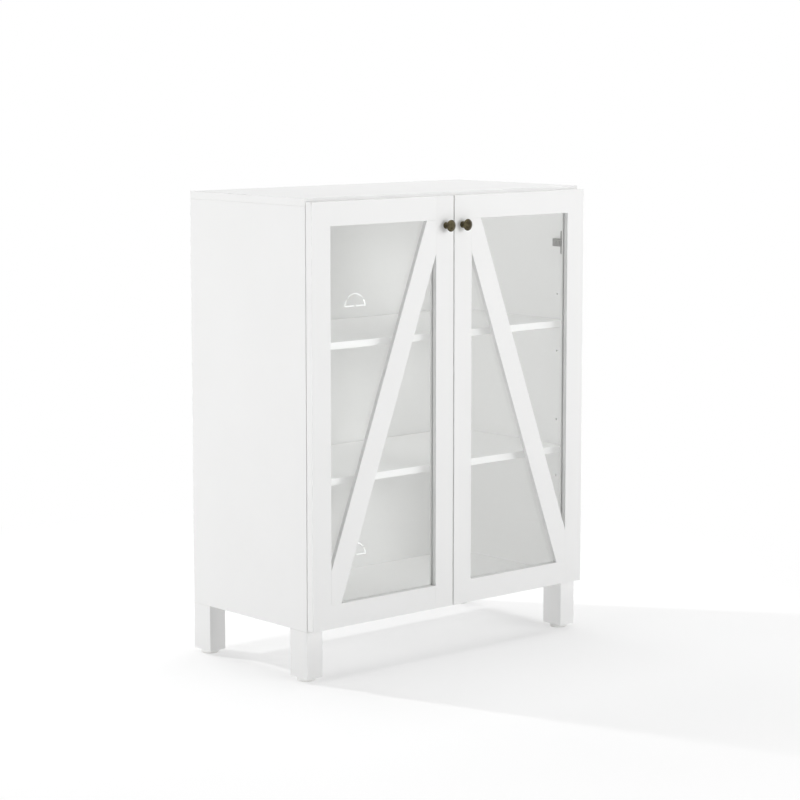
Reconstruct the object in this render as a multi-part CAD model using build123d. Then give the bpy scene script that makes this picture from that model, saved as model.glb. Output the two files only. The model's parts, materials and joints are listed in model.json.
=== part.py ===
"""Two-door glass-front cabinet with diagonal door braces, on four short legs.

Each piece is written to parts/ as a STEP file of its own. Sizes are in millimetres. +X points right
as seen from the front, +Y to the rear and +Z up, with the origin on the floor under the middle of
the outer box. Pieces on the left are drawn, and those on the right are their mirror images.
"""

import math
import os

from build123d import *

# Case
case_width = 783.0
case_depth = 385.0
overall_height = 1000.0
board = 16.0
edge_round = 1.0

# Legs and glides
leg_width = 42.0
leg_depth = 56.0
leg_height = 100.0
leg_round = 1.5
glide_radius = 19.0
glide_height = 8.0
glide_round = 2.0
glide_stem_radius = 2.5
glide_stem_length = 20.0
leg_bolt_radius = 4.0
leg_bolt_reach = 40.0
leg_bolt_offset = 12.0
insert_radius = 6.0
insert_length = 12.0

# Back panel and its cable knock-outs
back_thickness = 4.0
back_inset = 8.0
groove_depth = 7.0
groove_clearance = 0.15
back_edge_clearance = 1.0
knockout_radius = 31.0
knockout_x = 60.0
knockout_heights = (152.0, 724.0)
slit_width = 3.0
tab_width = 5.0
tab_angles = (35.0, 145.0)

# Shelves, their pins and the pin holes
shelf_thickness = 15.0
shelf_setback = 20.0
shelf_end_clearance = 0.6
shelf_back_clearance = 1.5
lower_shelf_height = 408.5
upper_shelf_height = 692.0
hole_pitch = 64.0
hole_front_setback = 44.5
hole_rear_setback = 60.0
shelf_pin_radius = 2.5
shelf_pin_length = 8.0
shelf_pin_plate = 1.2
shelf_pin_width = 14.0
shelf_pin_ledge = 12.0
shelf_pin_rise = 6.0

# Cam fittings and dowels
cam_radius = 7.5
cam_depth = 12.5
cam_distance = 24.0
cam_slot_length = 9.0
cam_slot_width = 1.6
cam_slot_depth = 1.5
cam_bolt_radius = 3.0
cam_neck_radius = 2.4
cam_head_radius = 3.5
cam_head_length = 4.0
cam_neck_length = 7.0
cam_thread_length = 10.0
cam_bore_radius = 4.0
cam_inset = 45.0
dowel_radius = 4.0
dowel_length = 30.0
dowel_short_end = 10.0
dowel_inset = 95.0
fitting_clearance = 0.05

# Doors
door_thickness = 18.0
door_gap = 2.0
door_top_drop = 7.5
door_bottom_rise = 3.0
centre_gap = 3.0
stile_width = 50.0
rail_width = 50.0
door_round = 1.0
lip = 10.0
rebate = 8.0
tenon_length = 20.0
tenon_thickness = 6.0
tenon_shoulder = 8.0
brace_width = 50.0
tongue_length = 6.0
tongue_shoulder = 8.0
joint_clearance = 0.1
glass_thickness = 4.0
glass_edge_clearance = 1.5
bead_clearance = 0.2
bumper_radius = 4.0
bumper_inset = 12.0
bumper_clearance = 0.4

# Knobs
knob_radius = 12.5
knob_projection = 23.0
knob_drop = 62.0
knob_inset = 22.5
knob_base_radius = 7.0
knob_base_height = 2.5
knob_neck_radius = 5.0
knob_neck_height = 9.5
knob_rim_height = 16.5
knob_screw_radius = 2.0
knob_screw_reach = 10.0
knob_screw_head_radius = 4.0
knob_screw_head_height = 2.4

# Cup hinges: plan points are (distance in from the case side, distance forward of the case front)
hinge_inset = 120.0
arm_pivot_outer = (35.43, -15.69)
cup_pivot_outer = (10.01, 4.34)
outer_link_bend = (16.99, 9.21)
arm_pivot_inner = (30.24, 6.92)
cup_pivot_inner = (13.87, 7.53)
inner_link_bend = (21.08, 9.13)
open_eye = (13.93, 8.50)
open_eye_slack = 1.35
link_half_width = 1.5
eye_wall = 1.1
tail_length = 6.5
fork_reach = 4.2
web_half_length = 2.5
arm_pin_radius = 1.5
cup_pin_radius = 1.2
lug_pin_radius = 1.0
pin_clearance = 0.05
tongue_half = 2.5
inner_link_low = 2.8
inner_link_high = 4.2
outer_link_low = 4.6
outer_link_high = 6.0
layer_clearance = 0.3
cup_centre = 22.5
cup_radius = 17.5
cup_wall = 1.0
cup_floor = 12.4
cup_fit = 0.05
flange_thickness = 1.0
flange_overlap = 1.1
cup_screw_spread = 22.5
cup_screw_offset = 9.5
ear_radius = 5.5
cup_lug_half_width = 2.2
cup_lug_thickness = 2.6
arm_root = (24.0, -20.0)
arm_root_radius = 2.5
arm_end = 52.0
arm_web = 2.0
arm_web_height = 6.2
arm_web_start = 16.0
arm_cheek = 1.4
plate_half_width = 7.0
plate_thickness = 1.6
plate_front = 23.0
plate_setback = 28.0
wing_half_depth = 6.0
wing_half_height = 26.0
wing_screw_spread = 16.0
hinge_screw_radius = 2.0
hinge_screw_length = 11.0
hinge_screw_head_radius = 3.6
hinge_screw_head_height = 1.6
clamp_setback = 41.0

# Positions that follow from the sizes above
overall_depth = case_depth + door_gap + door_thickness + knob_projection
left = -case_width / 2
inner_left = left + board
rear = overall_depth / 2
front = rear - case_depth
case_bottom = glide_height + leg_height
floor_top = case_bottom + board
top_under = overall_height - board
back_rear = rear - back_inset
back_front = back_rear - back_thickness
door_rear = front - door_gap
door_front = door_rear - door_thickness
door_low = case_bottom + door_bottom_rise
door_high = overall_height - door_top_drop
door_inner = -centre_gap / 2
window_x = (left + stile_width, door_inner - stile_width)
window_z = (door_low + rail_width, door_high - rail_width)
hinge_heights = (door_low + hinge_inset, door_high - hinge_inset)
hole_columns = (front + hole_front_setback, rear - hole_rear_setback)
cam_columns = (front + cam_inset, rear - cam_inset)
dowel_columns = (front + dowel_inset, rear - dowel_inset)
right_ward = (1, 0, 0)
left_ward = (-1, 0, 0)
rear_ward = (0, 1, 0)
front_ward = (0, -1, 0)
upward = (0, 0, 1)
downward = (0, 0, -1)
past = 1.0


def slab(x, y, z):
    """Rectangular piece between two limits on each axis."""
    size = [high - low for low, high in (x, y, z)]
    middle = [(high + low) / 2 for low, high in (x, y, z)]
    return Pos(*middle) * Box(*size)


def eased(shape, radius=edge_round):
    """The same piece with all its edges rounded."""
    return fillet(shape.edges(), radius)


def rod(start, direction, radius, length):
    """Cylinder that runs from a point along a direction."""
    align = (Align.CENTER, Align.CENTER, Align.MIN)
    return Plane(origin=start, z_dir=direction) * Cylinder(radius, length, align=align)


def turned(origin, direction, *profile):
    """Solid of revolution from (radius, height) points along a direction."""
    outline = Polyline(*[(radius, 0, height) for radius, height in profile], close=True)
    return Plane(origin=origin, z_dir=direction) * revolve(make_face(outline), Axis.Z)


def along(point, direction, distance):
    """Point at a distance from another along a direction."""
    return tuple(start + distance * step for start, step in zip(point, direction))


def grown(limits, margin):
    """Limits moved outwards by a margin at both ends."""
    return (limits[0] - margin, limits[1] + margin)


def mirrored(shape):
    """Mirror image on the right-hand side."""
    return mirror(shape, about=Plane.YZ)


def both_sides(shapes):
    """The shapes of the left and their mirror images on the right."""
    return list(shapes) + [mirrored(shape) for shape in shapes]


def cut(shape, cutters):
    """A piece less every cutter in a list."""
    for cutter in cutters:
        shape -= cutter
    return shape


def write(name, shapes):
    """Write one node as a single solid or as a group of separate solids."""
    group = shapes if isinstance(shapes, list) else [shapes]
    solids = [solid for shape in group for solid in shape.solids()]
    node = solids[0] if len(solids) == 1 else Compound(children=solids)
    node.label = name
    export_step(node, f"parts/{name}.step")


def cam_bolt(joint, direction):
    """Bolt of a cam fitting that reaches from the joint into the other board."""
    head = cam_distance + cam_head_length / 2
    neck_end = head - cam_head_length
    return turned(
        joint,
        direction,
        (0, -cam_thread_length),
        (cam_bolt_radius, -cam_thread_length),
        (cam_bolt_radius, neck_end - cam_neck_length),
        (cam_neck_radius, neck_end - cam_neck_length),
        (cam_neck_radius, neck_end),
        (cam_head_radius, neck_end),
        (cam_head_radius, head),
        (0, head),
    )


def cam_disc(joint, direction, opening):
    """Slotted disc that draws the bolt's head in, with its face at the board's surface."""
    axis_point = along(joint, direction, cam_distance)
    face = along(axis_point, opening, board / 2)
    inward = tuple(-step for step in opening)
    disc = rod(face, inward, cam_radius, cam_depth)
    disc -= rod(joint, direction, cam_bore_radius, cam_distance + cam_head_length)
    slot = Rectangle(cam_slot_length, cam_slot_width) + Rectangle(cam_slot_width, cam_slot_length)
    return disc - extrude(Plane(origin=face, z_dir=inward) * slot, cam_slot_depth)


def cam_cuts(joint, direction, opening):
    """Cutters for the board that holds the disc."""
    axis_point = along(joint, direction, cam_distance)
    face = along(axis_point, opening, board / 2)
    inward = tuple(-step for step in opening)
    bore = rod(face, inward, cam_radius + fitting_clearance, cam_depth + fitting_clearance)
    return [rod(joint, direction, cam_bore_radius, cam_distance), bore]


def thread_cut(joint, direction):
    """Cutter for the board that the bolt is screwed into."""
    return rod(along(joint, direction, -cam_thread_length), direction, cam_bolt_radius, cam_thread_length)


def dowel(joint, direction, clearance=0.0):
    """Wooden dowel across a joint, short end first, or its hole with clearance."""
    start = along(joint, direction, -dowel_short_end - clearance)
    return rod(start, direction, dowel_radius + clearance, dowel_length + 2 * clearance)


# Joints of the left side with the top and with the floor of the case
top_joints = [(left + board / 2, y, top_under) for y in cam_columns]
floor_joints = [(inner_left, y, case_bottom + board / 2) for y in cam_columns]
top_dowel_joints = [(left + board / 2, y, top_under) for y in dowel_columns]
floor_dowel_joints = [(inner_left, y, case_bottom + board / 2) for y in dowel_columns]
top_dowel_cuts = [dowel(joint, downward, fitting_clearance) for joint in top_dowel_joints]
floor_dowel_cuts = [dowel(joint, right_ward, fitting_clearance) for joint in floor_dowel_joints]


def shelf_pin_hole(y, z):
    """Blind hole for a shelf pin in the left side."""
    depth = shelf_pin_length + fitting_clearance
    return rod((inner_left, y, z), left_ward, shelf_pin_radius + fitting_clearance, depth)


def hinge_screw_holes(z):
    """Pilot holes for one hinge plate's screws in the left side."""
    y = front + plate_setback
    spots = [(inner_left, y, z + side * wing_screw_spread) for side in (-1, 1)]
    return [rod(spot, left_ward, hinge_screw_radius, hinge_screw_length - plate_thickness) for spot in spots]


def back_groove():
    """Cutter for the groove that holds the back panel's edges."""
    return slab(
        grown((inner_left, -inner_left), groove_depth),
        grown((back_front, back_rear), groove_clearance),
        grown((floor_top, top_under), groove_depth),
    )


def side_panel():
    """Left side with its groove, pin holes and fitting holes."""
    panel = eased(slab((left, inner_left), (front, rear), (case_bottom, top_under)))
    panel -= back_groove()
    for middle in (lower_shelf_height, upper_shelf_height):
        for step in (-1, 0, 1):
            panel = cut(panel, [shelf_pin_hole(y, middle + step * hole_pitch) for y in hole_columns])
    for z in hinge_heights:
        panel = cut(panel, hinge_screw_holes(z))
    for joint in top_joints:
        panel = cut(panel, cam_cuts(joint, downward, right_ward))
    panel = cut(panel, [thread_cut(joint, right_ward) for joint in floor_joints])
    return cut(panel, top_dowel_cuts + floor_dowel_cuts)


def top_panel():
    """Top that lies on both sides."""
    panel = eased(slab((left, -left), (front, rear), (top_under, overall_height)))
    panel -= back_groove()
    threads = [thread_cut(joint, downward) for joint in top_joints]
    return cut(panel, both_sides(threads + top_dowel_cuts))


def leg_bolt_spots():
    """Plan positions of the bolts of the two left legs."""
    x = inner_left + leg_bolt_offset
    return [(x, front + leg_depth / 2), (x, rear - leg_depth / 2)]


def bottom_panel():
    """Floor of the case, held between the sides."""
    panel = slab((inner_left, -inner_left), (front, rear), (case_bottom, floor_top))
    panel -= back_groove()
    cuts = list(floor_dowel_cuts)
    for joint in floor_joints:
        cuts += cam_cuts(joint, right_ward, downward)
    for x, y in leg_bolt_spots():
        cuts.append(rod((x, y, case_bottom), upward, insert_radius, insert_length))
    return cut(panel, both_sides(cuts))


def knockout_slit(base_height):
    """Slit round a half-round plug, left joined to the panel by small tabs."""
    inner_radius = knockout_radius - slit_width
    ring = Circle(knockout_radius) - Circle(inner_radius)
    ring &= Pos(0, knockout_radius / 2) * Rectangle(2 * knockout_radius, knockout_radius)
    base = Pos(0, slit_width / 2) * Rectangle(2 * knockout_radius, slit_width)
    tab = Rectangle(3 * slit_width, tab_width)
    slit = ring + base - Pos(0, slit_width / 2) * Rot(0, 0, 90) * tab
    for angle in tab_angles:
        slit -= Rot(0, 0, angle) * Pos(inner_radius, 0) * tab
    place = Plane(origin=(knockout_x, back_rear + past, base_height), x_dir=right_ward, z_dir=front_ward)
    return extrude(place * slit, back_thickness + 2 * past)


def back_panel():
    """Thin back that slides in the groove, with two cable knock-outs."""
    reach = groove_depth - back_edge_clearance
    panel = slab(
        grown((inner_left, -inner_left), reach),
        (back_front, back_rear),
        grown((floor_top, top_under), reach),
    )
    return cut(panel, [knockout_slit(height) for height in knockout_heights])


def leg(spot):
    """Left leg at the front or the rear, with bolt and glide holes."""
    x, y = spot
    limits_y = (y - leg_depth / 2, y + leg_depth / 2)
    post = eased(slab((left, left + leg_width), limits_y, (glide_height, case_bottom)), leg_round)
    post -= rod((x, y, case_bottom), downward, leg_bolt_radius, leg_bolt_reach)
    stem = rod((left + leg_width / 2, y, glide_height), upward, glide_stem_radius, glide_stem_length)
    return post - stem


def leg_bolt(spot):
    """Bolt that stands in a leg and screws into the insert above it."""
    start = (*spot, case_bottom - leg_bolt_reach)
    return rod(start, upward, leg_bolt_radius, leg_bolt_reach + insert_length)


def leg_insert(spot):
    """Threaded sleeve set into the floor of the case."""
    sleeve = rod((*spot, case_bottom), upward, insert_radius, insert_length)
    return sleeve - leg_bolt(spot)


def glide(spot):
    """Round plastic glide with a stem driven into the leg."""
    centre = (left + leg_width / 2, spot[1], 0)
    disc = rod(centre, upward, glide_radius, glide_height)
    disc = fillet(disc.edges().group_by(Axis.Z)[0], glide_round)
    return disc + rod(along(centre, upward, glide_height), upward, glide_stem_radius, glide_stem_length)


def shelf(height):
    """Loose shelf whose middle lies level with its pins."""
    end = inner_left + shelf_pin_plate + shelf_end_clearance
    limits_y = (front + shelf_setback, back_front - shelf_back_clearance)
    half = shelf_thickness / 2
    return eased(slab((end, -end), limits_y, (height - half, height + half)))


def shelf_pin(y, height):
    """Bent shelf pin: a peg in the side, a plate on the wall and a ledge under the shelf."""
    under = height - shelf_thickness / 2
    low = under - shelf_pin_plate
    profile = Polyline(
        (inner_left, y, low),
        (inner_left + shelf_pin_ledge, y, low),
        (inner_left + shelf_pin_ledge, y, under),
        (inner_left + shelf_pin_plate, y, under),
        (inner_left + shelf_pin_plate, y, height + shelf_pin_rise),
        (inner_left, y, height + shelf_pin_rise),
        close=True,
    )
    bracket = extrude(make_face(profile), shelf_pin_width / 2, dir=rear_ward, both=True)
    return bracket + rod((inner_left, y, height), left_ward, shelf_pin_radius, shelf_pin_length)


def stile_round(stile, edge_index):
    """Round the long edges of a stile on the side that has no joints."""
    edges = stile.edges().filter_by(Axis.Z).group_by(Axis.X)[edge_index]
    return fillet(edges, door_round)


def rail_round(rail, edge_index):
    """Round the long edges of a rail on the side that has no joints."""
    edges = rail.edges().filter_by(Axis.X).group_by(Axis.Z)[edge_index]
    return fillet(edges, door_round)


def glazing_rebate():
    """Cutter for the step behind the window that takes the pane and its beads."""
    return slab(grown(window_x, rebate), (door_front + lip, door_rear + past), grown(window_z, rebate))


def tenon(rail_z, clearance=0.0):
    """Both tenons of a rail as one bar, or their mortises with clearance."""
    limits_y = (door_front + (lip - tenon_thickness) / 2, door_front + (lip + tenon_thickness) / 2)
    return slab(
        grown(window_x, tenon_length + clearance),
        grown(limits_y, clearance),
        grown(rail_z, clearance - tenon_shoulder),
    )


def diagonal_bar(width, window_margin, depth):
    """Bar between opposite window corners, trimmed to the window and drawn over a depth range."""
    run = window_x[1] - window_x[0]
    rise = window_z[1] - window_z[0]
    middle_x = sum(window_x) / 2
    middle_z = sum(window_z) / 2
    strip = Rectangle(2 * math.hypot(run, rise), width, rotation=math.degrees(math.atan2(rise, run)))
    strip &= Rectangle(run + 2 * window_margin, rise + 2 * window_margin)
    place = Plane(origin=(middle_x, door_front + depth[0], middle_z), x_dir=right_ward, z_dir=front_ward)
    return extrude(place * strip, depth[0] - depth[1])


def brace_tongue(clearance=0.0):
    """Thin tongue at both ends of the brace, or the slots for it with clearance."""
    depth = ((lip - tenon_thickness) / 2 - clearance, (lip + tenon_thickness) / 2 + clearance)
    width = brace_width - 2 * tongue_shoulder + 2 * clearance
    return diagonal_bar(width, tongue_length + clearance, depth)


def cup_bores():
    """Bores for both hinge cups and their screws in the outer stile."""
    depth = cup_floor - door_gap + cup_wall
    bores = []
    for z in hinge_heights:
        bores.append(rod((left + cup_centre, door_rear, z), front_ward, cup_radius, depth))
        for x, _, height in cup_screw_spots(z):
            bores.append(rod((x, door_rear, height), front_ward, hinge_screw_radius, hinge_screw_length))
    return bores


def cup_screw_spots(z):
    """Places of the two screws of a cup, on the outer face of its flange."""
    x = left + cup_centre + cup_screw_offset
    return [(x, door_rear + flange_thickness, z + side * cup_screw_spread) for side in (-1, 1)]


def door_pieces():
    """Pieces of the left door's frame, glazing and fittings by name."""
    depth = (door_front, door_rear)
    height = (door_low, door_high)
    bottom_z = (door_low, window_z[0])
    top_z = (window_z[1], door_high)
    outer_stile = stile_round(slab((left, window_x[0]), depth, height), 0)
    inner_stile = stile_round(slab((window_x[1], door_inner), depth, height), -1)
    bottom_rail = rail_round(slab(window_x, depth, bottom_z), 0)
    top_rail = rail_round(slab(window_x, depth, top_z), -1)
    mortises = [tenon(bottom_z, joint_clearance), tenon(top_z, joint_clearance)]
    shared = [glazing_rebate(), brace_tongue(joint_clearance)]
    knob_spot = (door_inner - knob_inset, door_front, door_high - knob_drop)
    outer_stile = cut(outer_stile, mortises + shared + cup_bores())
    inner_stile = cut(inner_stile, mortises + shared)
    inner_stile -= rod(knob_spot, rear_ward, knob_screw_radius, door_thickness)
    bottom_rail = cut(bottom_rail + tenon(bottom_z), shared)
    top_rail = cut(top_rail + tenon(top_z), shared)
    return {
        "outer_stile": outer_stile,
        "inner_stile": inner_stile,
        "bottom_rail": bottom_rail,
        "top_rail": top_rail,
        "brace": diagonal_bar(brace_width, 0, (0, lip)) + brace_tongue(),
        "glass": glass_pane(),
        "glazing_beads": glazing_beads(),
        "knob": knob(knob_spot),
        "knob_screw": knob_screw(knob_spot),
        "door_bumpers": door_bumpers(),
    }


def glass_pane():
    """Single pane behind the frame and the brace."""
    margin = rebate - glass_edge_clearance
    limits_y = (door_front + lip, door_front + lip + glass_thickness)
    return slab(grown(window_x, margin), limits_y, grown(window_z, margin))


def glazing_beads():
    """Four mitred strips that hold the pane from behind."""
    outer_x, outer_z = grown(window_x, rebate - bead_clearance), grown(window_z, rebate - bead_clearance)
    start = door_front + lip + glass_thickness
    corners = [(0, 0), (1, 0), (1, 1), (0, 1)]
    strips = []
    for first, second in zip(corners, corners[1:] + corners[:1]):
        points = [
            (outer_x[first[0]], start, outer_z[first[1]]),
            (outer_x[second[0]], start, outer_z[second[1]]),
            (window_x[second[0]], start, window_z[second[1]]),
            (window_x[first[0]], start, window_z[first[1]]),
        ]
        strip = make_face(Polyline(*points, close=True))
        strips.append(extrude(strip, door_rear - start - bead_clearance, dir=rear_ward))
    return strips


def knob(spot):
    """Turned mushroom knob with a tapped hole."""
    dome_height = knob_projection - knob_rim_height
    dome_radius = (knob_radius**2 + dome_height**2) / (2 * dome_height)
    half_angle = math.asin(knob_radius / dome_radius) / 2
    dome_middle = (
        dome_radius * math.sin(half_angle),
        knob_projection - dome_radius * (1 - math.cos(half_angle)),
    )
    waist = (knob_neck_radius, knob_neck_height)
    rim = (knob_radius, knob_rim_height)
    with BuildPart() as body:
        with BuildSketch(Plane.XZ):
            with BuildLine():
                Polyline(
                    (0, knob_projection),
                    (0, 0),
                    (knob_base_radius, 0),
                    (knob_base_radius, knob_base_height),
                    (knob_neck_radius, 2 * knob_base_height),
                    waist,
                )
                TangentArc(waist, rim, tangent=(0, 1))
                ThreePointArc(rim, dome_middle, (0, knob_projection))
            make_face()
        revolve(axis=Axis.Z)
    turned_body = Plane(origin=spot, z_dir=front_ward) * body.part
    return turned_body - rod(spot, front_ward, knob_screw_radius, knob_screw_reach)


def knob_screw(spot):
    """Machine screw from behind the stile into the knob."""
    start = along(spot, rear_ward, door_thickness)
    head = rod(start, rear_ward, knob_screw_head_radius, knob_screw_head_height)
    return head + rod(start, front_ward, knob_screw_radius, door_thickness + knob_screw_reach)


def door_bumpers():
    """Soft discs at the free corners that meet the case."""
    x = door_inner - bumper_inset
    heights = (door_low + bumper_radius + past, door_high - bumper_radius - past)
    thickness = door_gap - bumper_clearance
    return [rod((x, door_rear, z), rear_ward, bumper_radius, thickness) for z in heights]


def strap(points, half_width):
    """Flat bar outline with round ends that follows plan points."""
    outline = None
    for start, end in zip(points, points[1:]):
        run, rise = end[0] - start[0], end[1] - start[1]
        slot = SlotCenterToCenter(math.hypot(run, rise), 2 * half_width, math.degrees(math.atan2(rise, run)))
        slot = Pos((start[0] + end[0]) / 2, (start[1] + end[1]) / 2) * slot
        outline = slot if outline is None else outline + slot
    return outline


def disc_at(point, radius):
    """Round plan outline at a plan point."""
    return Pos(*point) * Circle(radius)


def beyond(point, angle):
    """Large plan square that ends at a point and reaches away against a direction."""
    reach = 2 * arm_end
    return Pos(*point) * Rot(0, 0, angle) * Pos(-reach / 2, 0) * Rectangle(reach, reach)


def thick(outline, half, z):
    """Plan outline drawn to a half thickness above and below a hinge's middle."""
    place = Plane(origin=(left, front, z), x_dir=right_ward, z_dir=downward)
    return extrude(place * outline, half, both=True)


def pin(point, radius, half, z):
    """Pin across a hinge at a plan point."""
    return thick(disc_at(point, radius), half, z)


def outer_link(z):
    """Bent pair of straps joined behind the arm's outer pivot."""
    heading = math.atan2(arm_pivot_outer[1] - outer_link_bend[1], arm_pivot_outer[0] - outer_link_bend[0])
    step = (math.cos(heading), math.sin(heading))
    tail = tuple(start + tail_length * part for start, part in zip(arm_pivot_outer, step))
    fork = tuple(start + fork_reach * part for start, part in zip(arm_pivot_outer, step))
    outline = strap([cup_pivot_outer, outer_link_bend, arm_pivot_outer, tail], link_half_width)
    outline += disc_at(arm_pivot_outer, arm_pin_radius + eye_wall)
    outline += disc_at(cup_pivot_outer, cup_pin_radius + eye_wall)
    outline -= disc_at(arm_pivot_outer, arm_pin_radius + pin_clearance)
    outline -= disc_at(cup_pivot_outer, cup_pin_radius + pin_clearance)
    return thick(outline, outer_link_high, z) - thick(beyond(fork, math.degrees(heading)), outer_link_low, z)


def inner_link(z):
    """Short link forked at both ends, with a wide eye on the cup's pin."""
    eye = lug_pin_radius + open_eye_slack
    outline = strap([open_eye, inner_link_bend, arm_pivot_inner], link_half_width)
    outline += disc_at(arm_pivot_inner, arm_pin_radius + eye_wall)
    outline += disc_at(open_eye, eye + eye_wall)
    outline -= disc_at(arm_pivot_inner, arm_pin_radius + pin_clearance)
    outline -= disc_at(open_eye, eye)
    cup_side = beyond((inner_link_bend[0] - web_half_length, inner_link_bend[1]), 0)
    arm_side = beyond((inner_link_bend[0] + web_half_length, inner_link_bend[1]), 180)
    return thick(outline, inner_link_high, z) - thick(cup_side + arm_side, inner_link_low, z)


def arm_pins(z):
    """The two pins that the arm carries."""
    outer = pin(arm_pivot_outer, arm_pin_radius, outer_link_high + layer_clearance, z)
    inner = pin(arm_pivot_inner, arm_pin_radius, inner_link_high, z)
    return [outer, inner]


def cup_lug_limits():
    """Near and far faces of the cup's side lugs from the hinge's middle."""
    near = outer_link_high + layer_clearance
    return (near, near + cup_lug_thickness)


def cup_pins(z):
    """Two stub pins in the side lugs and one pin in the middle lug."""
    spread = thick(disc_at(cup_pivot_outer, cup_pin_radius), cup_lug_limits()[1], z)
    stubs = spread - pin(cup_pivot_outer, 2 * cup_pin_radius, inner_link_high + layer_clearance, z)
    return [*stubs.solids(), pin(cup_pivot_inner, lug_pin_radius, inner_link_high, z)]


def hinge_arm(z):
    """Arm: a channel over the plate with a tongue that reaches into the cup."""
    anchors = disc_at(arm_root, arm_root_radius)
    anchors += disc_at(arm_pivot_outer, arm_pin_radius + eye_wall)
    anchors += disc_at(arm_pivot_inner, arm_pin_radius + eye_wall)
    tongue = thick(make_hull(anchors.edges()), tongue_half, z)
    tongue += pin(arm_pivot_outer, arm_pin_radius + eye_wall, outer_link_low - layer_clearance, z)
    web_low = inner_left + arm_web_height
    limits_y = (front + arm_web_start, front + arm_end)
    half = plate_half_width + layer_clearance + arm_cheek
    channel = slab((inner_left + plate_thickness, web_low + arm_web), limits_y, (z - half, z + half))
    inner_half = half - arm_cheek
    channel -= slab((inner_left, web_low), grown(limits_y, past), (z - inner_half, z + inner_half))
    channel -= clamp_screw(z)
    return cut(channel + tongue, arm_pins(z))


def hinge_plate(z):
    """Mounting plate: a block under the arm and two wings screwed to the side."""
    block = slab(
        (inner_left, inner_left + arm_web_height),
        (front + plate_front, front + arm_end),
        (z - plate_half_width, z + plate_half_width),
    )
    wing_y = front + plate_setback
    wings = slab(
        (inner_left, inner_left + plate_thickness),
        (wing_y - wing_half_depth, wing_y + wing_half_depth),
        (z - wing_half_height, z + wing_half_height),
    )
    wings = fillet(wings.edges().filter_by(Axis.X), wing_half_depth / 2)
    return cut(block + wings, plate_screws(z))


def screw(spot, direction, length):
    """Pan-head screw whose head rests at a point and whose shank runs along a direction."""
    outward = tuple(-step for step in direction)
    head = rod(spot, outward, hinge_screw_head_radius, hinge_screw_head_height)
    return head + rod(spot, direction, hinge_screw_radius, length)


def clamp_screw(z):
    """Screw that clamps the arm on its plate."""
    spot = (inner_left + arm_web_height + arm_web, front + clamp_setback, z)
    return screw(spot, left_ward, arm_web + arm_web_height)


def plate_screws(z):
    """Two wing screws and the clamp screw of one hinge."""
    x = inner_left + plate_thickness
    spots = [(x, front + plate_setback, z + side * wing_screw_spread) for side in (-1, 1)]
    return [screw(spot, left_ward, hinge_screw_length) for spot in spots] + [clamp_screw(z)]


def cup_screws(z):
    """Two screws that hold a cup's flange on the outer stile."""
    reach = hinge_screw_length + flange_thickness
    return [screw(spot, front_ward, reach) for spot in cup_screw_spots(z)]


def cup_lug(pivot):
    """Plan outline of a lug that rises from the cup's floor to a pivot."""
    rise = cup_floor - pivot[1]
    foot = Pos(pivot[0], pivot[1] + rise / 2) * Rectangle(2 * cup_lug_half_width, rise)
    return foot + disc_at(pivot, cup_lug_half_width)


def hinge_cup(z):
    """Round cup with an eared flange and the lugs that carry its pins."""
    mouth = (left + cup_centre, door_rear, z)
    inside = cup_radius - cup_fit - cup_wall
    depth = cup_floor - door_gap
    cup = rod(mouth, front_ward, cup_radius - cup_fit, depth + cup_wall - cup_fit)
    ears = Circle(cup_radius + flange_overlap)
    for side in (-1, 1):
        ears += Pos(cup_screw_offset, side * cup_screw_spread) * Circle(ear_radius)
    flange = make_hull(ears.edges())
    place = Plane(origin=mouth, x_dir=right_ward, z_dir=front_ward)
    cup += extrude(place * flange, -flange_thickness)
    cup -= rod(along(mouth, rear_ward, flange_thickness), front_ward, inside, depth + flange_thickness)
    near, far = cup_lug_limits()
    side_lugs = thick(cup_lug(cup_pivot_outer), far, z) - thick(beyond((arm_end, 0), 0), near, z)
    cup += side_lugs + thick(cup_lug(cup_pivot_inner), tongue_half, z)
    return cut(cup, cup_pins(z) + cup_screws(z))


def hinge_pieces():
    """Pieces of both left hinges by name."""
    makers = {
        "hinge_plates": hinge_plate,
        "hinge_arms": hinge_arm,
        "arm_pins": arm_pins,
        "outer_links": outer_link,
        "inner_links": inner_link,
        "hinge_cups": hinge_cup,
        "cup_pins": cup_pins,
        "plate_screws": plate_screws,
        "cup_screws": cup_screws,
    }
    pieces = {}
    for name, maker in makers.items():
        made = [maker(z) for z in hinge_heights]
        pieces[name] = [shape for item in made for shape in (item if isinstance(item, list) else [item])]
    return pieces


def write_case():
    """Write the pieces of the case, its legs, shelves and fittings."""
    spots = leg_bolt_spots()
    side = side_panel()
    write("top_panel", top_panel())
    write("left_side_panel", side)
    write("right_side_panel", mirrored(side))
    write("bottom_panel", bottom_panel())
    write("back_panel", back_panel())
    for place, spot in zip(("front", "rear"), spots):
        post = leg(spot)
        write(f"{place}_left_leg", post)
        write(f"{place}_right_leg", mirrored(post))
    write("leg_bolts", both_sides([leg_bolt(spot) for spot in spots]))
    write("leg_inserts", both_sides([leg_insert(spot) for spot in spots]))
    write("foot_glides", both_sides([glide(spot) for spot in spots]))
    for name, height in (("lower", lower_shelf_height), ("upper", upper_shelf_height)):
        write(f"{name}_shelf", shelf(height))
        write(f"{name}_shelf_pins", both_sides([shelf_pin(y, height) for y in hole_columns]))
    bolts = [cam_bolt(joint, downward) for joint in top_joints]
    bolts += [cam_bolt(joint, right_ward) for joint in floor_joints]
    discs = [cam_disc(joint, downward, right_ward) for joint in top_joints]
    discs += [cam_disc(joint, right_ward, downward) for joint in floor_joints]
    dowels = [dowel(joint, downward) for joint in top_dowel_joints]
    dowels += [dowel(joint, right_ward) for joint in floor_dowel_joints]
    write("cam_bolts", both_sides(bolts))
    write("cam_discs", both_sides(discs))
    write("dowels", both_sides(dowels))


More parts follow.
